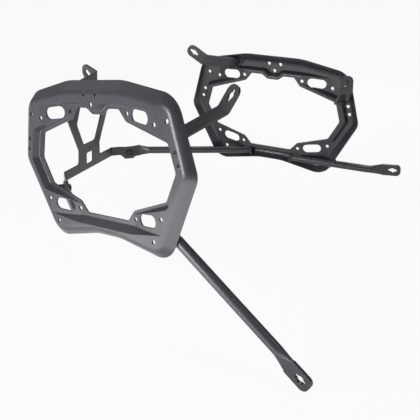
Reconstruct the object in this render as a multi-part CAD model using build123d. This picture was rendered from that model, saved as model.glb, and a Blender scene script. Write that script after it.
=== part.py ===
from build123d import *
import os
from math import cos, sin, tan, radians, hypot

os.makedirs("parts", exist_ok=True)

# Motorcycle pannier frame: two pressed side rings on welded tubes and straps, bolted to a rear bridge.
# Millimetres, X forward, Y to the rider's left, Z up; the origin is the middle of the bridge's front face,
# on the machine's centre plane.

# Sheet pressing of each side ring
sheet = 2.5
draw = 11.0
outer_bend_r = 14.0
foot_r = 2.0
gusset_root = 120.0
gusset_slope = 0.18
lip_wall = 4.0
hole_d = 6.6
slot_l = 37.0
slot_w = 17.5

# Where the two carriers stand
right_at = (261.1, -259.9, 95.5)
left_at = (283.7, 258.7, 61.3)
toe = 7.7
lean = 6.03
pitch = 4.81

# Tubes with flattened ends
tube_d = 15.0
tube_wall = 1.5
flat_w = 23.0
flat_t = 4.5
flat_slot_l = 17.0
flat_slot_w = 6.0
flat_eye_d = 10.0
flat_tip = 15.4
flat_corner = 8.5
squeeze = 22.0
flat_lift = 4.0
tube_v = -108.6
tube_w = -(sheet + tube_d / 2 + 2.0)
elbow_r = 16.0
tube_tail = -2.0

# Straps of the upper brackets
strap_w = 23.5
strap_t = 3.5
fold_r = 6.0
tip_r = 11.0
strap_slot_l = 18.0
strap_slot_w = 6.5
strap_eye_d = 10.5

# Rear bridge
plate_t = 3.0
seat_level = 11.5
bridge_yaw = 8.36
bridge_tilt = 7.4
wing_at = 84.0
wing_fold = 42.0
pad_reach = 41.0
pad_level = -23.5

# Bridge fasteners
bolt_d = 8.0
bolt_hole_d = 8.5
head_d = 14.0
head_h = 4.4
socket_af = 5.0
nut_af = 13.0
nut_h = 8.0
washer_d = 17.0
washer_t = 1.6

# Ring outlines, one half, each corner as (along, up, corner radius)
outer_edge_half = [(58, 102.6, 120), (152.6, 84, 38), (179.9, -17.2, 25), (120.9, -138.2, 34), (25.8, -119.6, 100)]
outer_bend_half = [(56, 88.5, 105), (150.5, 72.5, 27), (169.6, -15, 20), (108.5, -124.5, 24), (24, -112, 90)]
inner_edge_half = [(11, 56.2, 6), (22.5, 64.6, 6), (44.5, 64.6, 5), (56.8, 48.4, 8), (131.5, 24.3, 6),
                   (142.1, -14.4, 8), (121.8, -53.9, 6), (58.5, -74, 8), (44, -90.8, 5)]
rail_floor_half = [(10, 61.5, 5), (20, 69.5, 5), (62, 69.5, 40), (125, 62.2, 9), (125, -92.5, 9), (60, -97, 40)]
rail_top_half = [(8.5, 65, 5), (17, 72.8, 6), (62, 72.8, 40), (125, 65.5, 9), (125, -97, 9), (60, -105, 40)]
lip_floor_half = [(46, 57.2, 4), (140.2, 26.8, 9), (151.6, -14.9, 9), (130.6, -56.4, 8), (46, -83.2, 4)]
hole_half = [(11.8, 84.7), (60.5, 59.2), (120, 48.4), (142.9, 53.6), (154, 15.8), (158.3, -0.3),
             (120.1, -75.3), (60.2, -86), (103.4, -109)]
nose_hole = (0, 70.7)
luggage_slots = [(89.5, 56.5, -5), (89.5, -83, 6)]


def mirrored(half):
    """Closed outline from its right half, clockwise."""
    return list(half) + [(-u, v, r) for u, v, r in reversed(half)]


def moved(points, d):
    """Outline with every side moved outward by d."""
    out = []
    n = len(points)
    for i in range(n):
        x0, y0, _ = points[i - 1]
        x1, y1, r = points[i]
        x2, y2, _ = points[(i + 1) % n]
        a = hypot(x1 - x0, y1 - y0)
        b = hypot(x2 - x1, y2 - y1)
        n1 = (-(y1 - y0) / a, (x1 - x0) / a)
        n2 = (-(y2 - y1) / b, (x2 - x1) / b)
        k = d / (1 + n1[0] * n2[0] + n1[1] * n2[1])
        out.append((x1 + k * (n1[0] + n2[0]), y1 + k * (n1[1] + n2[1]), r))
    return out


def between(a, b, k):
    """Outline a fraction k of the way from outline a to outline b."""
    return [(p[0] + k * (q[0] - p[0]), p[1] + k * (q[1] - p[1]), p[2] + k * (q[2] - p[2])) for p, q in zip(a, b)]


def rounded(before, corner, after, r):
    """Start, middle and end of the arc of radius r that rounds a corner."""
    d1 = (before - corner).normalized()
    d2 = (after - corner).normalized()
    half = radians(d1.get_angle(d2) / 2)
    reach = r / tan(half)
    middle = corner + (d1 + d2).normalized() * (r / sin(half) - r)
    return corner + d1 * reach, middle, corner + d2 * reach


def outline(points, z=0.0):
    """Face inside an outline with rounded corners, at height z."""
    at = [Vector(x, y, z) for x, y, r in points]
    n = len(at)
    arcs = []
    for i in range(n):
        r = points[i][2]
        if r > 0:
            arcs.append(rounded(at[i - 1], at[i], at[(i + 1) % n], r))
        else:
            arcs.append((at[i], None, at[i]))
    edges = []
    for i in range(n):
        a, m, b = arcs[i]
        if m is not None:
            edges.append(ThreePointArc(a, m, b))
        edges.append(Line(b, arcs[(i + 1) % n][0]))
    return Face(Wire(edges))


def level(edges, z):
    """Those edges that lie at height z."""
    return [e for e in edges if abs(e.center().Z - z) < 1e-6]


def upward(face, height):
    """Prism raised from a level face."""
    return extrude(face, height, dir=(0, 0, 1))


outer_edge = mirrored(outer_edge_half)
outer_bend = mirrored(outer_bend_half)
inner_edge = mirrored(inner_edge_half)
rail_floor = mirrored(rail_floor_half)
rail_top = mirrored(rail_top_half)
lip_floor = mirrored(lip_floor_half)


def form(drop, inset, bend, foot):
    """Solid block under one side of the pressed sheet: raised band, drawn rails, corner gussets and lip."""
    crown = moved(outer_bend, -0.62 * inset)
    skirt = moved(between(outer_bend, outer_edge, 2), -0.62 * inset)
    body = loft([outline(skirt, -2 * draw - drop), outline(crown, -drop)], ruled=True)
    body = fillet(level(body.edges(), -drop), bend)
    over = 1.3
    floor = -draw - drop
    rim = draw * (over - 1) - drop
    rail = loft([outline(moved(rail_floor, inset), floor),
                 outline(moved(between(rail_floor, rail_top, over), inset), rim)], ruled=True)
    rail = fillet(level(rail.edges(), floor), foot)
    start = gusset_root - draw / gusset_slope
    for side in (1, -1):
        slope = Polyline((start * side, floor), (150 * side, floor),
                         (150 * side, (150 - gusset_root) * gusset_slope - drop), close=True)
        rail = rail - extrude(Plane.XZ * make_face(slope), 150, both=True)
    lip = loft([outline(moved(lip_floor, inset), floor),
                outline(moved(lip_floor, inset + lip_wall * over), rim)], ruled=True)
    lip = fillet(level(lip.edges(), floor), foot)
    return body - rail - lip


def pressing():
    """The side ring: sheet between two formed blocks, trimmed to its outlines and pierced."""
    wall_shift = 0.64 * sheet
    blank = form(0, 0, outer_bend_r, foot_r) - form(sheet, wall_shift, outer_bend_r - sheet, foot_r + 0.8 * sheet)
    trim = loft([outline(moved(outer_edge, -7.3), -draw - 9), outline(moved(outer_edge, 16.7), -draw + 18)], ruled=True)
    trim = trim - upward(outline(inner_edge, -4 * draw), 6 * draw)
    ring = blank & trim
    spots = [nose_hole] + [(s * u, v) for s in (1, -1) for u, v in hole_half]
    deep = 6 * draw
    for u, v in spots:
        ring = ring - Pos(u, v, 0) * Cylinder(hole_d / 2, deep)
    for side in (1, -1):
        for u, v, turn in luggage_slots:
            tool = extrude(SlotOverall(slot_l, slot_w), deep / 2, both=True)
            ring = ring - Pos(side * u, v, 0) * Rot(0, 0, side * turn) * tool
    return ring


def largest(shape):
    """The biggest solid left by a cut."""
    return shape.solids().sort_by(SortBy.VOLUME)[-1]


def stadium(plane, width, thick, lift):
    """Flattened tube section: two straight sides joined by half circles, lifted along the plane's Y."""
    r = thick / 2
    x = width / 2 - r
    pts = [plane.from_local_coords(Vector(a, b + lift, 0)) for a, b in
           ((-x, r), (x, r), (x + r, 0), (x, -r), (-x, -r), (-x - r, 0))]
    edges = [Line(pts[0], pts[1]), ThreePointArc(pts[1], pts[2], pts[3]),
             Line(pts[3], pts[4]), ThreePointArc(pts[4], pts[5], pts[0])]
    return Face(Wire(edges))


def tube_mouth(plane, r):
    """Round tube section cut at the same four places as the flattened one."""
    c = r * cos(radians(40))
    s = r * sin(radians(40))
    pts = [plane.from_local_coords(Vector(a, b, 0)) for a, b in
           ((-c, s), (0, r), (c, s), (r, 0), (c, -s), (0, -r), (-c, -s), (-r, 0))]
    edges = [ThreePointArc(pts[0], pts[1], pts[2]), ThreePointArc(pts[2], pts[3], pts[4]),
             ThreePointArc(pts[4], pts[5], pts[6]), ThreePointArc(pts[6], pts[7], pts[0])]
    return Face(Wire(edges))


def eyelet(long, wide, eye):
    """Short slot with a round eye in its middle."""
    return SlotOverall(long, wide) + Circle(eye / 2)


def flat_end(start, axis, across, lift, flat_dir, reach, hole_l):
    """Tube end pressed flat from start along axis, then a tongue along flat_dir with rounded corners and a hole."""
    mouth = Plane(origin=start, x_dir=across, z_dir=axis)
    hinge = start + axis * squeeze
    neck = Plane(origin=hinge, x_dir=across, z_dir=axis)
    blend = loft([tube_mouth(mouth, tube_d / 2), stadium(neck, flat_w, flat_t, lift)], ruled=True)
    root = neck.from_local_coords(Vector(0, lift, 0))
    tongue_plane = Plane(origin=root, x_dir=across, z_dir=across.cross(flat_dir))
    tongue = outline([(flat_w / 2, 0, 0), (flat_w / 2, reach + flat_tip, flat_corner),
                      (-flat_w / 2, reach + flat_tip, flat_corner), (-flat_w / 2, 0, 0)])
    if hole_l > bolt_hole_d + 0.01:
        tongue = tongue - Pos(0, reach) * Rot(0, 0, 90) * eyelet(hole_l, flat_slot_w, flat_eye_d)
    else:
        tongue = tongue - Pos(0, reach) * Circle(bolt_hole_d / 2)
    tongue = tongue_plane * extrude(tongue, flat_t / 2, both=True)
    if axis.get_angle(flat_dir) < 1:
        return blend + tongue
    knuckle = Plane(origin=root, x_dir=axis, z_dir=across) * Cylinder(flat_t / 2, flat_w)
    return blend + tongue + knuckle


def tube_run(points, r, bend):
    """Round bar of radius r along straight runs joined by bends."""
    edges = []
    last = points[0]
    for i in range(1, len(points) - 1):
        a, m, b = rounded(points[i - 1], points[i], points[i + 1], bend)
        edges += [Line(last, a), ThreePointArc(a, m, b)]
        last = b
    edges.append(Line(last, points[-1]))
    return sweep(Plane(origin=points[0], z_dir=points[1] - points[0]) * Circle(r), path=Wire(edges))


def strap(fold, across, leg_dir, leg_l, tab_dir, slot_at, tip_at):
    """Strap folded once: a leg to the ring and a tab with a slot and a rounded tip."""
    foot = fold + leg_dir * leg_l
    tip = fold + tab_dir * tip_at
    a, m, b = rounded(foot, fold, tip, fold_r)
    path = Wire([Line(foot, a), ThreePointArc(a, m, b), Line(b, tip)])
    body = sweep(Plane(origin=foot, x_dir=across, z_dir=-leg_dir) * Rectangle(strap_w, strap_t), path=path)
    ends = [e for e in body.edges() if abs(e.length - strap_t) < 1e-3 and (e.center() - tip).length < strap_w]
    body = fillet(ends, tip_r)
    tab = Plane(origin=fold + tab_dir * slot_at, x_dir=tab_dir, z_dir=tab_dir.cross(across))
    return body - tab * extrude(eyelet(strap_slot_l, strap_slot_w, strap_eye_d), 2 * strap_t, both=True)


def unit(x, y, z):
    return Vector(x, y, z).normalized()


# Carrier frames: local X along the ring, Y up it, Z outward through its face
right_carrier = Pos(*right_at) * Rot(0, -pitch, 0) * Rot(0, 0, -toe) * Rot(-lean, 0, 0)
right_carrier = right_carrier * Plane((0, 0, 0), x_dir=(1, 0, 0), z_dir=(0, -1, 0)).location
left_carrier = Pos(*left_at) * Rot(0, pitch, 0) * Rot(0, 0, toe) * Rot(lean, 0, 0)
left_carrier = left_carrier * Plane((0, 0, 0), x_dir=(-1, 0, 0), z_dir=(0, 1, 0)).location

# Rear bridge: flat plate with a window, a slot and two wings folded forward to the bolt pads
bridge_frame = Rot(0, 0, bridge_yaw) * Rot(0, bridge_tilt, 0)
bridge_frame = bridge_frame * Plane((0, 0, 0), x_dir=(0, 1, 0), z_dir=(1, 0, 0)).location * Pos(0, -seat_level, 0)
bar_top = -8.6
bar_low = -26.8
plate_half = [(58, 128, 8), (72, 94, 10), (35.3, 19.4, 14), (36.5, bar_top, 6), (wing_at, bar_top, 0),
              (wing_at, bar_low, 0)]
window_half = [(27, 114, 8), (42, 74.6, 8), (20, 27.7, 9)]
plate = outline(mirrored(plate_half)) - outline(mirrored(window_half))
plate = plate - Pos(0, -3.9) * RectangleRounded(22, 24, 3)
plate = plate - Pos(0, 17.3) * Circle(2.5)
for side in (1, -1):
    plate = plate - Pos(side * 46, 108) * Circle(bolt_hole_d / 2)
bridge = extrude(plate, plate_t, dir=(0, 0, -1))
pad_low = pad_level - 13
pad_top = pad_level + 14
pad_half = 14.0
wing_half = [(0, bar_top, 0), (pad_reach - pad_half - 7, bar_top, 8), (pad_reach - pad_half + 2, pad_top, 8),
             (pad_reach + pad_half - 6, pad_top, 1.5), (pad_reach + pad_half, pad_top - 6, 1.5),
             (pad_reach + pad_half, pad_low + 6, 1.5), (pad_reach + pad_half - 6, pad_low, 1.5),
             (pad_reach - pad_half + 3, pad_low, 1.5), (pad_reach - pad_half - 6, bar_low, 8), (0, bar_low, 0)]
pad_frames = {}
for side in (1, -1):
    turn = Plane((side * wing_at, 0, -plate_t / 2), x_dir=(cos(radians(wing_fold)), 0, side * sin(radians(wing_fold))),
                 z_dir=(-side * sin(radians(wing_fold)), 0, cos(radians(wing_fold))))
    shape = [(side * x, y, r) for x, y, r in wing_half]
    wing = outline(shape) - Pos(side * pad_reach, pad_level) * Circle(bolt_hole_d / 2)
    bridge = bridge + turn * extrude(wing, plate_t / 2, both=True)
    knuckle = Plane((side * wing_at, (bar_top + bar_low) / 2, -plate_t / 2), x_dir=(1, 0, 0), z_dir=(0, 1, 0))
    bridge = bridge + knuckle * Cylinder(plate_t / 2, bar_top - bar_low)
    pad_frames[side] = bridge_frame * turn.location * Pos(side * pad_reach, pad_level, 0)
bridge = bridge_frame * bridge

# Rings with their welded tubes and straps; side is 1 for the right carrier and -1 for the left one
ring = pressing()
nodes = {"rear_bridge": bridge}
front_runs = {1: [(104, tube_v + 9.6, tube_w + 1.0), (127, tube_v + 2.8, tube_w - 8.0), (311.3, -255.5, -33.6)],
              -1: [(48, tube_v, tube_w), (207, tube_v + 2.4, tube_w), (256.5, tube_v + 7.0, tube_w)]}
rear_welds = {1: (-57, -108, -8), -1: (-45, -108, -8)}
front_straps = {1: ((171.9, 60.1, -75.2), (0.895, -0.326, 0.303), (-0.419, -0.383, 0.824), (0.42, 0.845, -0.331)),
                -1: ((161.8, 70.2, -78.5), (0.932, 0.099, 0.35), (-0.249, -0.525, 0.813), (0.0235, 0.943, -0.331))}
rear_straps = {1: ((-72.8, 100.2, -76.5), (0.34, 0.925, 0.175), (0.19, -0.25, 0.95), (-0.927, 0.36, -0.103)),
               -1: ((-121, 100.4, -75), (0.552, 0.831, -0.073), (0.509, -0.266, 0.819), (-0.833, 0.545, -0.094))}
for side, name, carrier in ((1, "right", right_carrier), (-1, "left", left_carrier)):
    # front strut: the left tube leaves the bottom rail through a notch, the right one is coped behind the flange
    run = [Vector(side * u, v, w) for u, v, w in front_runs[side]]
    axis = (run[-1] - run[-2]).normalized()
    across = axis.cross(Vector(0, 0, 1)).normalized()
    reach = 20.5
    start = run[-1] - axis * (reach + squeeze)
    bar = tube_run(run[:-1] + [start], tube_d / 2, elbow_r)
    bore = tube_run(run[:-1] + [start], tube_d / 2 - tube_wall, elbow_r)
    end = flat_end(start, axis, across, -flat_lift, axis, reach, flat_slot_l)
    front_strut = bar - bore + end
    if side > 0:
        body = ring
        front_strut = largest(front_strut - ring)
    else:
        body = ring - bar
    nodes[name + "_front_strut"] = front_strut
    # rear strut: from the bridge pad to the bottom rail, coped to the back of the sheet
    pad = carrier.inverse() * pad_frames[-side]
    centre = pad.position
    front = (pad * Pos(0, 0, 1)).position - centre
    seat = centre - front * (plate_t + flat_t) / 2
    u, v, w = rear_welds[side]
    weld = Vector(side * u, v, w)
    gap = weld - seat
    along = (gap - front * gap.dot(front)).normalized()
    hinge = seat + along * 24.0
    axis = (weld - hinge).normalized()
    across = front.cross(along)
    start = hinge + axis * squeeze
    far = weld + axis * tube_tail
    bar = tube_run([start, far], tube_d / 2, elbow_r) - tube_run([start, far], tube_d / 2 - tube_wall, elbow_r)
    end = flat_end(start, -axis, across, 0.0, -along, 24.0, bolt_hole_d)
    nodes[name + "_rear_strut"] = largest(bar + end - body)
    # upper brackets: straps coped to the back of the sheet
    fold, b, d1, d2 = [Vector(side * q[0], q[1], q[2]) for q in front_straps[side]]
    nodes[name + "_front_bracket"] = largest(strap(fold, unit(*b), unit(*d1), 98.0, unit(*d2), 21.1, 36.0) - body)
    fold, b, d1, d2 = [Vector(side * q[0], q[1], q[2]) for q in rear_straps[side]]
    nodes[name + "_rear_bracket"] = largest(strap(fold, unit(*b), unit(*d1), 96.0, unit(*d2), 25.0, 39.5) - body)
    nodes[name + "_ring"] = body
    for key in ("_ring", "_front_strut", "_rear_strut", "_front_bracket", "_rear_bracket"):
        nodes[name + key] = carrier * nodes[name + key]
    # bridge joint: button-head screw, two washers and a hexagon nut through the pad and the strut flat
    pad = pad_frames[-side]
    disc = Circle(washer_d / 2) - Circle(bolt_hole_d / 2)
    face = plate_t / 2
    rear = -plate_t / 2 - flat_t
    nodes[name + "_head_washer"] = pad * Pos(0, 0, face) * extrude(disc, washer_t)
    nodes[name + "_nut_washer"] = pad * Pos(0, 0, rear - washer_t) * extrude(disc, washer_t)
    head = fillet(extrude(Circle(head_d / 2), head_h).edges().sort_by(Axis.Z)[-1], head_h * 0.7)
    head = head - Pos(0, 0, head_h - 2.6) * extrude(RegularPolygon(socket_af / 2, 6, major_radius=False), 5)
    shank_l = washer_t + plate_t + flat_t + washer_t + nut_h + 2.5
    screw = head + Pos(0, 0, -shank_l) * extrude(Circle(bolt_d / 2), shank_l)
    nodes[name + "_bridge_screw"] = pad * Pos(0, 0, face + washer_t) * screw
    nut = extrude(RegularPolygon(nut_af / 2, 6, major_radius=False), nut_h)
    crown = extrude(Circle(nut_af * 0.575), nut_h)
    crown = chamfer(crown.edges(), 0.7)
    nut = (nut & crown) - Cylinder(bolt_d / 2, 4 * nut_h)
    nodes[name + "_bridge_nut"] = pad * Pos(0, 0, rear - washer_t - nut_h) * nut

for key, shape in nodes.items():
    export_step(shape, "parts/" + key + ".step")
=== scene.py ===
"""Looks of a motorcycle pannier frame: coat, fasteners, weld beads and a plain studio."""

import bpy
import numpy as np
from mathutils import Matrix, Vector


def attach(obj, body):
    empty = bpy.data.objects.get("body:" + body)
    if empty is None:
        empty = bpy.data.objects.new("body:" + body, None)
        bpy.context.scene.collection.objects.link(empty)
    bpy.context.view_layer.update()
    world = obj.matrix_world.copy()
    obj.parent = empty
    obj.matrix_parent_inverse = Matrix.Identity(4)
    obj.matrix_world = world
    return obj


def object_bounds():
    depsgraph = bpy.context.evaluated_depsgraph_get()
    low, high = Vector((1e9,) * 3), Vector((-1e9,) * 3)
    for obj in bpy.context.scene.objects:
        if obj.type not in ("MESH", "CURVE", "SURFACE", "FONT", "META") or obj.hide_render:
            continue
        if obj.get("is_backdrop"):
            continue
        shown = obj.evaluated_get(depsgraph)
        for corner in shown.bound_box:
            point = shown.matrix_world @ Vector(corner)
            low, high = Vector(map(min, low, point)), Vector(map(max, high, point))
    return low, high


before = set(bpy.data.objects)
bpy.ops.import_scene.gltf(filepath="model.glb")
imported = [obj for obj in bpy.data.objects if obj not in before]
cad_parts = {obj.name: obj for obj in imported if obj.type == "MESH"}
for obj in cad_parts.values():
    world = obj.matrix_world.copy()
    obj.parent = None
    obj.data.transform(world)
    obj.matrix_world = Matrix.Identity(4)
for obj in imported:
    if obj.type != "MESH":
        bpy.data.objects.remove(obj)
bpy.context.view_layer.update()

bl_info = {
    "name": "Pannier frame looks",
    "version": (1, 0, 0),
    "blender": (4, 5, 0),
    "location": "View3D > Sidebar > Pannier frame",
    "description": "Powder coat, fasteners, weld beads and studio for a motorcycle pannier frame",
    "category": "Object",
}

MM = 0.001
TINY = 1e-9
SIDES = {"right": 1.0, "left": -1.0}
FASTENERS = ("_screw", "_nut", "_washer")
COAT = "powder_coated_steel"

# Places taken from the frame's own drawing, in millimetres and degrees
RING_AT = {"right": (261.1, -259.9, 95.5), "left": (283.7, 258.7, 61.3)}
TOE, LEAN, PITCH = 7.7, 6.03, 4.81
BRIDGE_YAW, BRIDGE_TILT, SEAT_LEVEL = 8.36, 7.4, 11.5
WING_AT, WING_FOLD, PAD_REACH, PAD_LEVEL, PLATE_T = 84.0, 42.0, 41.0, -23.5, 3.0
TUBE_R, TUBE_TAIL, FLAT_T, FLAT_REACH = 7.5, -2.0, 4.5, 24.0
STRAP_W, STRAP_T = 23.5, 3.5
# where each rear tube's axis meets its ring, and two points on each front tube's axis: where it
# starts in the bottom rail, and where it leaves through the flange
REAR_WELD = {"right": (-57.0, -108.0, -8.0), "left": (-45.0, -108.0, -8.0)}
FRONT_START = {"right": ((104.0, -99.0, -11.0), (127.0, -105.8, -20.0)),
               "left": ((48.0, -108.6, -12.0), (207.0, -106.2, -12.0))}
FRONT_LEAVES = {"right": ((127.0, -105.8, -20.0), (311.3, -255.5, -33.6)),
                "left": FRONT_START["left"]}
# each strap's fold, the direction across it, and the direction of its leg towards the ring
STRAPS = {
    ("right", "front"): ((171.9, 60.1, -75.2), (0.895, -0.326, 0.303), (-0.419, -0.383, 0.824)),
    ("left", "front"): ((161.8, 70.2, -78.5), (0.932, 0.099, 0.35), (-0.249, -0.525, 0.813)),
    ("right", "rear"): ((-72.8, 100.2, -76.5), (0.34, 0.925, 0.175), (0.19, -0.25, 0.95)),
    ("left", "rear"): ((-121.0, 100.4, -75.0), (0.552, 0.831, -0.073), (0.509, -0.266, 0.819)),
}

# How the weld beads lie, in millimetres
BEAD_STANDS_OFF = 1.0        # a bead's middle off the sheet, or it would show on the other side
ROUND_GAP, SIDE_GAP = 0.4, 0.3   # a bead's line outside a tube it rounds, or one it runs beside
REAR_CAST, FRONT_CAST, STRAP_CAST = 45.0, 50.0, 20.0   # how far off the search for a ring starts
REAR_CLIMB = 1.5             # most that a rear bead lies past its tube's end
FRONT_RUN = 24.0             # length of a front bead on each side of its tube
FRONT_LIFT = (-3.0, 4.5)     # range of the rail's place, outward of the front tube's axis
END_OVERHANG = 0.6           # how far a front bead stands over the rim of the tube's end
RIM_LEAN = 0.6               # lean of that bead's height towards the rail's back
CROSSING_DEPTH = 25.0        # most that the flange's own edge varies along a front tube
STRAP_CORNER = 12            # power that squares the line round a strap's foot
BEAD_STEP = 0.4              # length of a bead between two sections
SMOOTHED_OVER = 9            # sections in the running mean along a bead
FEWEST_SECTIONS, FEWEST_HITS = 16, 4
# lines cast round a tube, along one side of it, over half its rim and round a strap
ROUND_POINTS, RUN_POINTS, HALF_POINTS, STRAP_POINTS = 72, 40, 42, 120

# Forms of a bead and of a dome; lengths in millimetres, the others are shares
BEAD_POINTS = 14             # points round a bead's section
RIPPLE_LEAN = 0.18           # share of a ripple by which a section's top lags
BEAD_TAPER = 1.6             # length of an open bead's round end, in bead radii
DOME_POINTS, DOME_ROWS = 32, 9
DOME_INSET, DOME_HEIGHT = 0.15, 2.6
DOME_TOP = 0.985             # share of the quarter turn where the small flat top begins
DOME_LOBES, DOME_WAVE = 5, 0.05
NO_TUBE_WAY = (0.3, 0.2, 0.9)    # a direction that no tube runs in

# Finishes, in millimetres where they are lengths
CLOUD_MM = 45.0              # size of the faint clouds in a coat's tone and gloss
ROUGH_SPREAD = 0.05          # how far the gloss varies each way
PEEL_HEIGHT_MM = 0.05
EDGE_ROUND_MM, EDGE_SAMPLES = 0.45, 6
SCREW_GRAIN_MM = 0.6         # length of the plating's waves

# The studio, in metres and watts
WHITE = (1.0, 1.0, 1.0, 1.0)
FLOOR_REACH = 60.0
FLOOR_GLOW = 0.94            # share of plain white in the floor as seen; the rest keeps the shadow
WORLD_LIGHT = 0.2
# name: (place, aim, width, height, power)
LAMPS = {
    "front_strip": ((0.06, -1.08, 0.25), (0.28, -0.1, 0.06), 0.27, 0.54, 8.5),
    "left_softbox": ((-0.9, -0.4, 1.1), (0.27, 0.0, 0.05), 0.8, 0.8, 1.0),
    "top_softbox": ((0.3, 0.2, 1.8), (0.3, 0.0, 0.05), 0.6, 0.6, 7.5),
    "right_softbox": ((1.45, 0.0, 1.05), (0.3, 0.0, 0.05), 0.4, 0.4, 2.0),
    "low_softbox": ((0.3, -0.53, -0.13), (0.3, -0.46, 0.3), 0.9, 0.5, 4.2),
    "back_softbox": ((-0.2, 1.5, 0.8), (0.27, 0.1, 0.05), 0.9, 0.9, 9.0),
}
# a lamp's upper edge points up; the small x keeps that clear for one that looks straight down
NEARLY_UP = (0.001, 0.0, 1.0)
CAMERA_AT = (0.8239, -0.8490, 0.3366)
CAMERA_RIGHT = (0.85106, 0.52318, -0.04459)
CAMERA_BACK = (0.49832, -0.77802, 0.38257)
SENSOR_MM, FOCAL_PX, IMAGE_PX = 36.0, 595.52, 420.0
VIEW_REACH = 60.0


def unit(v):
    """A vector at length one."""
    return np.asarray(v, float) / np.linalg.norm(v)


def rotation(axis, degrees):
    """Turn by an angle about one main axis, as a 4 by 4 matrix."""
    return np.array(Matrix.Rotation(np.radians(degrees), 4, axis))


def seated(origin, x_dir, z_dir):
    """Local frame whose columns are x, z cross x, z and the origin."""
    made = np.eye(4)
    made[:3, 0] = x_dir
    made[:3, 1] = np.cross(z_dir, x_dir)
    made[:3, 2] = z_dir
    made[:3, 3] = origin
    return made


def carrier(side):
    """Local frame of one ring: X along it, Y up it, Z outward through its face."""
    sign = SIDES[side]
    made = np.eye(4)
    made[:3, 3] = RING_AT[side]
    made = made @ rotation("Y", -sign * PITCH) @ rotation("Z", -sign * TOE)
    made = made @ rotation("X", -sign * LEAN)
    return made @ seated((0, 0, 0), (sign, 0, 0), (0, -sign, 0))


def bolt_pad(side):
    """Local frame of the bridge pad that holds one side's rear strut, Z along the screw."""
    sign = -SIDES[side]
    fold = np.radians(WING_FOLD)
    lowered, reached = np.eye(4), np.eye(4)
    lowered[1, 3] = -SEAT_LEVEL
    reached[:2, 3] = sign * PAD_REACH, PAD_LEVEL
    wing = seated((sign * WING_AT, 0, -PLATE_T / 2), (np.cos(fold), 0, sign * np.sin(fold)),
                  (-sign * np.sin(fold), 0, np.cos(fold)))
    plate = rotation("Z", BRIDGE_YAW) @ rotation("Y", BRIDGE_TILT)
    plate = plate @ seated((0, 0, 0), (0, 1, 0), (1, 0, 0))
    return plate @ lowered @ wing @ reached


def ring_places(side, points):
    """Rows of points of a ring's drawing, in the whole frame; the left drawing is mirrored."""
    place = carrier(side)
    drawn = np.atleast_2d(points) * (SIDES[side], 1, 1)
    return drawn @ place[:3, :3].T + place[:3, 3]


def ring_way(side, way):
    """One direction of a ring's drawing, in the whole frame."""
    return carrier(side)[:3, :3] @ unit(np.multiply(way, (SIDES[side], 1, 1)))


def linear(code):
    """Linear colour of an sRGB hex value."""
    s = np.array([int(code[i:i + 2], 16) for i in (1, 3, 5)]) / 255.0
    low = s / 12.92
    high = ((s + 0.055) / 1.055) ** 2.4
    return (*np.where(s <= 0.04045, low, high), 1.0)


def add(tree, kind, settings=None, **links):
    """One node with its settings, and the values or sockets that feed its inputs.

    An input goes by its name with _ for a space, or by i and its number.
    """
    node = tree.nodes.new(kind)
    for key, value in (settings or {}).items():
        setattr(node, key, value)
    for key, value in links.items():
        numbered = key[0] == "i" and key[1:].isdigit()
        socket = node.inputs[int(key[1:]) if numbered else key.replace("_", " ")]
        if isinstance(value, bpy.types.NodeSocket):
            tree.links.new(value, socket)
        else:
            socket.default_value = value
    return node


def bare_tree(owner):
    """The empty node tree of a material or world."""
    owner.use_nodes = True
    owner.node_tree.nodes.clear()
    return owner.node_tree


def coated_steel(name, shade, light, roughness, peel_mm, peel):
    """Powder coat or plating on steel: even satin tone, faint clouding, and a fine waved skin.

    Orange peel of flowed powder has waves 1 to 3 mm long and a few microns high, too low to show
    here, so they are drawn higher. Edges shine over a small round, as under a film that flowed.
    """
    mat = bpy.data.materials.new(name)
    tree = bare_tree(mat)
    where = add(tree, "ShaderNodeTexCoord").outputs["Object"]
    cloud = add(tree, "ShaderNodeTexNoise", Vector=where, Scale=1 / (CLOUD_MM * MM), Detail=3.0,
                Roughness=0.55).outputs["Fac"]
    tone = add(tree, "ShaderNodeMix", {"data_type": "RGBA"}, i0=cloud, i6=linear(shade),
               i7=linear(light))
    rough = add(tree, "ShaderNodeMapRange", Value=cloud, To_Min=roughness - ROUGH_SPREAD,
                To_Max=roughness + ROUGH_SPREAD)
    wave = add(tree, "ShaderNodeTexNoise", Vector=where, Scale=1 / (peel_mm * MM), Detail=2.0,
               Roughness=0.5)
    edge = add(tree, "ShaderNodeBevel", {"samples": EDGE_SAMPLES}, Radius=EDGE_ROUND_MM * MM)
    bump = add(tree, "ShaderNodeBump", Height=wave.outputs["Fac"], Strength=peel,
               Distance=PEEL_HEIGHT_MM * MM, Normal=edge.outputs["Normal"])
    skin = add(tree, "ShaderNodeBsdfPrincipled", Base_Color=tone.outputs[2],
               Roughness=rough.outputs["Result"], Normal=bump.outputs["Normal"])
    add(tree, "ShaderNodeOutputMaterial", Surface=skin.outputs["BSDF"])
    return mat


def dress(material, fasteners):
    """Give one material to the frame's fasteners, or to all its other parts."""
    for name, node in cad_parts.items():
        if name.endswith(FASTENERS) == fasteners:
            node.data.materials.clear()
            node.data.materials.append(material)


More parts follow.
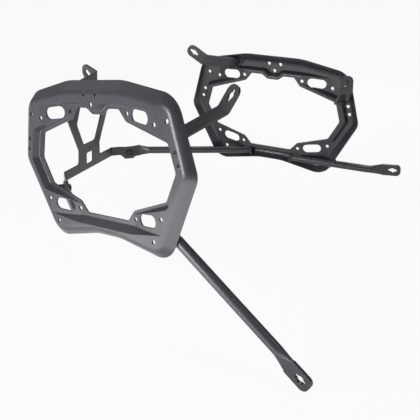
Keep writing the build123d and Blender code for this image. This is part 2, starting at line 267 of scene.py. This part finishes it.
def mesh_piece(name, verts, faces):
    """Smooth coated mesh object from whole arrays of points and quads, riding on the frame."""
    mesh = bpy.data.meshes.new(name)
    mesh.vertices.add(len(verts))
    mesh.vertices.foreach_set("co", np.ascontiguousarray(verts, np.float32).ravel())
    mesh.loops.add(faces.size)
    mesh.loops.foreach_set("vertex_index", faces.astype(np.int32).ravel())
    mesh.polygons.add(len(faces))
    mesh.polygons.foreach_set("loop_start", np.arange(0, faces.size, 4, dtype=np.int32))
    mesh.polygons.foreach_set("use_smooth", np.ones(len(faces), bool))
    mesh.update(calc_edges=True)
    mesh.validate()
    mesh.materials.append(bpy.data.materials[COAT])
    piece = bpy.data.objects.new(name, mesh)
    bpy.context.scene.collection.objects.link(piece)
    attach(piece, "root")


def ring_faces(rows, ring, closed):
    """Quads of a grid whose rows are closed rings; closed also joins the last row to the first."""
    i, j = np.meshgrid(np.arange(rows if closed else rows - 1), np.arange(ring), indexing="ij")
    here, ahead, on = i * ring, (i + 1) % rows * ring, (j + 1) % ring
    return np.stack([here + j, here + on, ahead + on, ahead + j], -1).reshape(-1, 4)


def round_tube(axis, out):
    """Circle just outside a tube, from its axis: across cos a plus (axis cross across) sin a."""
    turn = np.linspace(0, 2 * np.pi, ROUND_POINTS, endpoint=False)[:, None]
    across = unit(np.cross(axis, out))
    return (TUBE_R + ROUND_GAP) * (np.cos(turn) * across + np.sin(turn) * np.cross(axis, across))


def laid_on(ring, starts, way):
    """Where straight lines along way first meet a ring, in metres.

    A line that misses takes the place between its neighbours.
    """
    hits = [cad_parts[ring].ray_cast(start, way) for start in starts]
    seen = np.array([hit[0] for hit in hits])
    if seen.sum() < FEWEST_HITS:
        raise RuntimeError("no weld line found on " + ring)
    place = np.array([hit[1] for hit in hits])
    order = np.arange(len(hits))
    line = np.column_stack([np.interp(order, order[seen], place[seen, k]) for k in range(3)])
    return line - BEAD_STANDS_OFF * MM * np.asarray(way)


def crossing(ring, far, axis, rim):
    """Open line where a tube's outline, followed inward from a far point, meets a ring's flange."""
    hits = [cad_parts[ring].ray_cast(start, -axis) for start in (far + rim) * MM]
    met = np.array([hit[0] for hit in hits])
    if not met.any():
        raise RuntimeError("no flange found on " + ring)
    place = np.array([hit[1] for hit in hits])
    depth = far @ axis * MM - place @ axis
    met &= depth < depth[met].min() + CROSSING_DEPTH * MM
    turn = -int(np.argmin(met))
    return np.roll(place, turn, 0)[np.roll(met, turn)] + BEAD_STANDS_OFF * MM * axis


def evened(path, closed):
    """The same line with sections a step apart, smoothed by a short running mean."""
    if closed:
        path = np.vstack([path, path[:1]])
    far = np.concatenate([[0], np.cumsum(np.linalg.norm(np.diff(path, axis=0), axis=1))])
    count = max(int(far[-1] / (BEAD_STEP * MM)), FEWEST_SECTIONS)
    at = np.linspace(0, far[-1], count, endpoint=not closed)
    line = np.column_stack([np.interp(at, far, path[:, k]) for k in range(3)])
    weight = np.hanning(SMOOTHED_OVER + 2)[1:-1]
    weight /= weight.sum()
    spare = SMOOTHED_OVER // 2
    ends = np.pad(line, ((spare, spare), (0, 0)), mode="wrap" if closed else "edge")
    return np.column_stack([np.convolve(ends[:, k], weight, "valid") for k in range(3)])


def bead(name, path, height, sizes, closed):
    """Weld bead: a circle carried along a line, its radius rippling once every pitch.

    Point (i, j) is line i plus radius i times (side i cos a j plus up i sin a j). The ripple lags
    with the section's height, so it lies in scales, and an open bead tapers to its ends.
    """
    line = evened(path, closed)
    ahead = np.roll(line, -1, 0) - line
    if not closed:
        ahead[-1] = line[-1] - line[-2]
    step = np.linalg.norm(ahead, axis=1, keepdims=True)
    ahead = ahead / np.maximum(step, TINY)
    side = np.cross(ahead, height)
    side /= np.linalg.norm(side, axis=1, keepdims=True)
    up = np.cross(side, ahead)
    far = np.concatenate([[0], np.cumsum(step[:-1, 0])])
    total = far[-1] + (step[-1, 0] if closed else 0)
    turns = np.round(total / sizes.ripple_pitch) / total
    angle = np.linspace(0, 2 * np.pi, BEAD_POINTS, endpoint=False)
    c, s = np.cos(angle), np.sin(angle)
    wave = np.sin(2 * np.pi * (far[:, None] * turns + RIPPLE_LEAN * s[None, :]))
    radius = sizes.bead_radius * (1 + sizes.ripple_height * wave)
    if not closed:
        edge = np.minimum(far, far[-1] - far) / (BEAD_TAPER * sizes.bead_radius)
        radius = radius * np.sqrt(np.clip(1 - (1 - np.clip(edge, 0, 1)) ** 2, 0, 1))[:, None]
    section = c[None, :, None] * side[:, None, :] + s[None, :, None] * up[:, None, :]
    verts = line[:, None, :] + radius[:, :, None] * section
    # the section turns against the line's direction, so the quads are turned to face outwards
    faces = ring_faces(len(line), BEAD_POINTS, closed)[:, [0, 3, 2, 1]]
    mesh_piece(name, verts.reshape(-1, 3), faces)


def dome(name, centre, way):
    """Weld that closes a tube's mouth, with a small flat top and a flat base.

    Point (a, t) is the centre plus r cos t round the rim and h sin t along way, r waving with a.
    """
    side = unit(np.cross(way, NO_TUBE_WAY))
    other = np.cross(way, side)
    a = np.linspace(0, 2 * np.pi, DOME_POINTS, endpoint=False)[None, :, None]
    t = np.linspace(0, 0.5 * np.pi * DOME_TOP, DOME_ROWS)[:, None, None]
    radius = (TUBE_R - DOME_INSET) * (1 + DOME_WAVE * np.sin(DOME_LOBES * a) * np.sin(2 * t))
    verts = centre + radius * np.cos(t) * (np.cos(a) * side + np.sin(a) * other)
    verts = verts + DOME_HEIGHT * np.sin(t) * way
    k = np.arange(DOME_POINTS // 2 - 1)
    disc = np.stack([k, k + 1, DOME_POINTS - 2 - k, DOME_POINTS - 1 - k], -1)
    top = (DOME_ROWS - 1) * DOME_POINTS
    faces = np.vstack([ring_faces(DOME_ROWS, DOME_POINTS, False), top + disc, disc[:, ::-1]])
    mesh_piece(name, verts.reshape(-1, 3) * MM, faces)


def rear_weld(side, sizes):
    """Bead round a rear tube where it meets its ring, and the dome in the tube's end."""
    pad = bolt_pad(side)
    screw = pad[:3, 2]
    weld = ring_places(side, REAR_WELD[side])[0]
    seat = pad[:3, 3] - screw * (PLATE_T + FLAT_T) / 2
    gap = weld - seat
    along = unit(gap - screw * (gap @ screw))
    axis = unit(weld - seat - along * FLAT_REACH)
    rim = round_tube(axis, carrier(side)[:3, 2])
    end = weld + axis * TUBE_TAIL
    line = laid_on(side + "_ring", (end - REAR_CAST * axis + rim) * MM, axis)
    climb = np.minimum((line / MM - end) @ axis, REAR_CLIMB)
    line = (end + rim + climb[:, None] * axis) * MM
    bead(side + "_rear_tube_weld", line, axis, sizes, True)
    dome(side + "_rear_tube_end", end, axis)


def front_weld(side, sizes):
    """Bead along a front tube in the bottom rail, over its end's rim and back, and its dome."""
    start, corner = ring_places(side, FRONT_START[side])
    axis = unit(corner - start)
    out = carrier(side)[:3, 2]
    across = np.cross(out, unit(axis - out * (axis @ out)))
    wide = TUBE_R + SIDE_GAP
    run = FRONT_RUN * np.linspace(0, 1, RUN_POINTS)[:, None]
    line = np.vstack([start + run[::-1] * axis + wide * across, start + run * axis - wide * across])
    rail = laid_on(side + "_ring", (line - FRONT_CAST * out) * MM, out) / MM
    lift = np.clip((rail - line) @ out, *FRONT_LIFT)
    line = line + lift[:, None] * out
    half = np.linspace(0, np.pi, HALF_POINTS)[1:-1, None]
    over = start - END_OVERHANG * axis + wide * (np.cos(half) * across - np.sin(half) * out)
    line = np.vstack([line[:RUN_POINTS], over, line[RUN_POINTS:]]) * MM
    bead(side + "_front_tube_weld", line, axis - RIM_LEAN * out, sizes, False)
    dome(side + "_front_tube_end", start, -axis)


def flange_weld(side, sizes):
    """Bead where a front tube leaves its ring at the flange."""
    near, far = ring_places(side, FRONT_LEAVES[side])
    axis = unit(far - near)
    rim = round_tube(axis, carrier(side)[:3, 2])
    line = crossing(side + "_ring", far, axis, rim)
    bead(side + "_flange_weld", line, axis, sizes, False)


def strap_weld(side, end, sizes):
    """Bead round a strap's foot.

    Its line is a squared ellipse, at angle a its half width and half thickness times cos a and
    sin a over (|cos a|^n + |sin a|^n)^(1/n), carried along the leg to the ring.
    """
    fold, across, leg = STRAPS[side, end]
    leg = ring_way(side, leg)
    across = ring_way(side, across)
    across = unit(across - leg * (across @ leg))
    thick = np.cross(leg, across)
    turn = np.linspace(0, 2 * np.pi, STRAP_POINTS, endpoint=False)[:, None]
    c, s = np.cos(turn), np.sin(turn)
    edge = (np.abs(c) ** STRAP_CORNER + np.abs(s) ** STRAP_CORNER) ** (-1 / STRAP_CORNER)
    rim = edge * (c * (STRAP_W / 2 + SIDE_GAP) * across + s * (STRAP_T / 2 + SIDE_GAP) * thick)
    start = ring_places(side, fold)[0] + STRAP_CAST * leg
    line = laid_on(side + "_ring", (start + rim) * MM, leg)
    bead(side + "_" + end + "_strap_weld", line, carrier(side)[:3, 2], sizes, True)


def background_rays(tree):
    """One where a camera, glossy or transmission ray meets the floor, so all see the same white."""
    path = add(tree, "ShaderNodeLightPath")
    seen = add(tree, "ShaderNodeMath", {"operation": "MAXIMUM"}, i0=path.outputs["Is Camera Ray"],
               i1=path.outputs["Is Glossy Ray"])
    seen = add(tree, "ShaderNodeMath", {"operation": "MAXIMUM"}, i0=seen.outputs[0],
               i1=path.outputs["Is Transmission Ray"])
    return seen.outputs[0]


def paper_floor(scene):
    """Wide floor of matt white paper under the frame, which keeps a faint shadow."""
    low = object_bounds()[0][2]
    corners = [(-1, -1), (1, -1), (1, 1), (-1, 1)]
    mesh = bpy.data.meshes.new("studio_floor")
    mesh.from_pydata([(FLOOR_REACH * x, FLOOR_REACH * y, low) for x, y in corners], [],
                     [(0, 1, 2, 3)])
    floor = bpy.data.objects.new("studio_floor", mesh)
    scene.collection.objects.link(floor)
    mat = bpy.data.materials.new("matt_paper")
    tree = bare_tree(mat)
    seen = background_rays(tree)
    skin = add(tree, "ShaderNodeBsdfDiffuse", Color=linear(scene.pannier_colours.floor))
    white = add(tree, "ShaderNodeEmission", Color=WHITE, Strength=1.0)
    glow = add(tree, "ShaderNodeMath", {"operation": "MULTIPLY"}, i0=seen, i1=FLOOR_GLOW)
    both = add(tree, "ShaderNodeMixShader", i0=glow.outputs[0], i1=skin.outputs[0],
               i2=white.outputs[0])
    add(tree, "ShaderNodeOutputMaterial", Surface=both.outputs[0])
    mesh.materials.append(mat)
    floor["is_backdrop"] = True


def soft_lamp(scene, name, at, aim, wide, tall, power):
    """Rectangular lamp at a place, turned to its aim and unseen by the camera."""
    lamp = bpy.data.lights.new(name, "AREA")
    lamp.shape = "RECTANGLE"
    lamp.size, lamp.size_y = wide, tall
    lamp.energy = power
    back = unit(np.subtract(at, aim))
    right = unit(np.cross(NEARLY_UP, back))
    stand = bpy.data.objects.new(name, lamp)
    stand.visible_camera = False
    stand.matrix_world = Matrix(seated(at, right, back).tolist())
    scene.collection.objects.link(stand)


def photo_camera(scene):
    """Camera at the photograph's place, with its focal length in pixels of the image."""
    view = bpy.data.cameras.new("photo_view")
    view.sensor_fit = "HORIZONTAL"
    view.sensor_width = SENSOR_MM
    view.lens = SENSOR_MM * FOCAL_PX / IMAGE_PX
    view.clip_end = VIEW_REACH
    stand = bpy.data.objects.new("photo_view", view)
    turn = seated(CAMERA_AT, unit(CAMERA_RIGHT), unit(CAMERA_BACK))
    stand.matrix_world = Matrix(turn.tolist())
    scene.collection.objects.link(stand)
    scene.camera = stand


class PannierSizes(bpy.types.PropertyGroup):
    """Sizes that finish the frame."""
    bead_radius: bpy.props.FloatProperty(
        name="Bead radius", description="Half width of a weld bead",
        default=2.5 * MM, unit="LENGTH")
    ripple_pitch: bpy.props.FloatProperty(
        name="Ripple pitch", description="Distance between weld ripples",
        default=2.6 * MM, unit="LENGTH")
    ripple_height: bpy.props.FloatProperty(
        name="Ripple height", description="Part of the bead radius that ripples",
        default=0.11, subtype="FACTOR")
    peel: bpy.props.FloatProperty(
        name="Orange peel", description="Length of the coat's surface waves in millimetres",
        default=1.8)


class PannierColours(bpy.types.PropertyGroup):
    """Colours of the coat, the fasteners and the floor, as sRGB hex values."""
    coat_shade: bpy.props.StringProperty(
        name="Coat shade", description="Darker tone of the powder coat", default="#343339")
    coat_light: bpy.props.StringProperty(
        name="Coat light", description="Lighter tone of the powder coat", default="#3d3c43")
    screw_shade: bpy.props.StringProperty(
        name="Screw shade", description="Darker tone of the fasteners", default="#202023")
    screw_light: bpy.props.StringProperty(
        name="Screw light", description="Lighter tone of the fasteners", default="#2a2a2e")
    floor: bpy.props.StringProperty(
        name="Floor", description="Colour of the floor", default="#b4b4b4")


class PANNIER_OT_coat(bpy.types.Operator):
    """Coat the rings, tubes, straps and bridge"""
    bl_idname = "pannier.coat"
    bl_label = "Powder coat"

    def execute(self, context):
        colours, sizes = context.scene.pannier_colours, context.scene.pannier_sizes
        # satin black powder: soft highlights along the bends and a slightly cool dark grey
        mat = coated_steel(COAT, colours.coat_shade, colours.coat_light, roughness=0.3,
                           peel_mm=sizes.peel, peel=0.22)
        dress(mat, fasteners=False)
        return {"FINISHED"}


class PANNIER_OT_fasteners(bpy.types.Operator):
    """Finish the screws, nuts and washers of the bridge"""
    bl_idname = "pannier.fasteners"
    bl_label = "Fasteners"

    def execute(self, context):
        colours = context.scene.pannier_colours
        # black zinc plating: darker, finer grained and a little duller than the coat
        mat = coated_steel("black_zinc_steel", colours.screw_shade, colours.screw_light,
                           roughness=0.34, peel_mm=SCREW_GRAIN_MM, peel=0.25)
        dress(mat, fasteners=True)
        return {"FINISHED"}


class PANNIER_OT_tube_welds(bpy.types.Operator):
    """Lay weld beads round the rear tubes and along the front tubes, and close the tube ends"""
    bl_idname = "pannier.tube_welds"
    bl_label = "Tube welds"

    def execute(self, context):
        sizes = context.scene.pannier_sizes
        for side in SIDES:
            rear_weld(side, sizes)
            front_weld(side, sizes)
            flange_weld(side, sizes)
        return {"FINISHED"}


class PANNIER_OT_strap_welds(bpy.types.Operator):
    """Lay weld beads round the feet of the strap brackets"""
    bl_idname = "pannier.strap_welds"
    bl_label = "Strap welds"

    def execute(self, context):
        for side, end in STRAPS:
            strap_weld(side, end, context.scene.pannier_sizes)
        return {"FINISHED"}


class PANNIER_OT_stage(bpy.types.Operator):
    """Set the floor, the soft studio light and the camera"""
    bl_idname = "pannier.stage"
    bl_label = "Studio"

    def execute(self, context):
        scene = context.scene
        paper_floor(scene)
        scene.world = bpy.data.worlds.new("studio")
        tree = bare_tree(scene.world)
        soft = add(tree, "ShaderNodeBackground", Color=WHITE, Strength=WORLD_LIGHT)
        add(tree, "ShaderNodeOutputWorld", Surface=soft.outputs[0])
        for name, lamp in LAMPS.items():
            soft_lamp(scene, name, *lamp)
        photo_camera(scene)
        scene.view_settings.view_transform = "Standard"
        return {"FINISHED"}


class PANNIER_PT_panel(bpy.types.Panel):
    """Steps that dress the pannier frame"""
    bl_label = "Pannier frame"
    bl_idname = "PANNIER_PT_panel"
    bl_space_type = "VIEW_3D"
    bl_region_type = "UI"
    bl_category = "Pannier frame"

    def draw(self, context):
        for group in (context.scene.pannier_sizes, context.scene.pannier_colours):
            for key in group.bl_rna.properties.keys():
                if key not in ("rna_type", "name"):
                    self.layout.prop(group, key)
        for step in STEPS:
            self.layout.operator(step.bl_idname)


STEPS = (PANNIER_OT_coat, PANNIER_OT_fasteners, PANNIER_OT_tube_welds, PANNIER_OT_strap_welds,
         PANNIER_OT_stage)
CLASSES = (PannierSizes, PannierColours) + STEPS + (PANNIER_PT_panel,)


def register():
    """Register the classes and hang the sizes and colours on the scene."""
    for cls in CLASSES:
        bpy.utils.register_class(cls)
    bpy.types.Scene.pannier_sizes = bpy.props.PointerProperty(type=PannierSizes)
    bpy.types.Scene.pannier_colours = bpy.props.PointerProperty(type=PannierColours)


def unregister():
    """Take the sizes, colours and classes away again."""
    del bpy.types.Scene.pannier_colours
    del bpy.types.Scene.pannier_sizes
    for cls in reversed(CLASSES):
        bpy.utils.unregister_class(cls)


def main():
    """Register the steps, dress the frame and set the studio."""
    register()
    bpy.ops.pannier.coat()
    bpy.ops.pannier.fasteners()
    bpy.ops.pannier.tube_welds()
    bpy.ops.pannier.strap_welds()
    bpy.ops.pannier.stage()


if __name__ == "__main__":
    main()
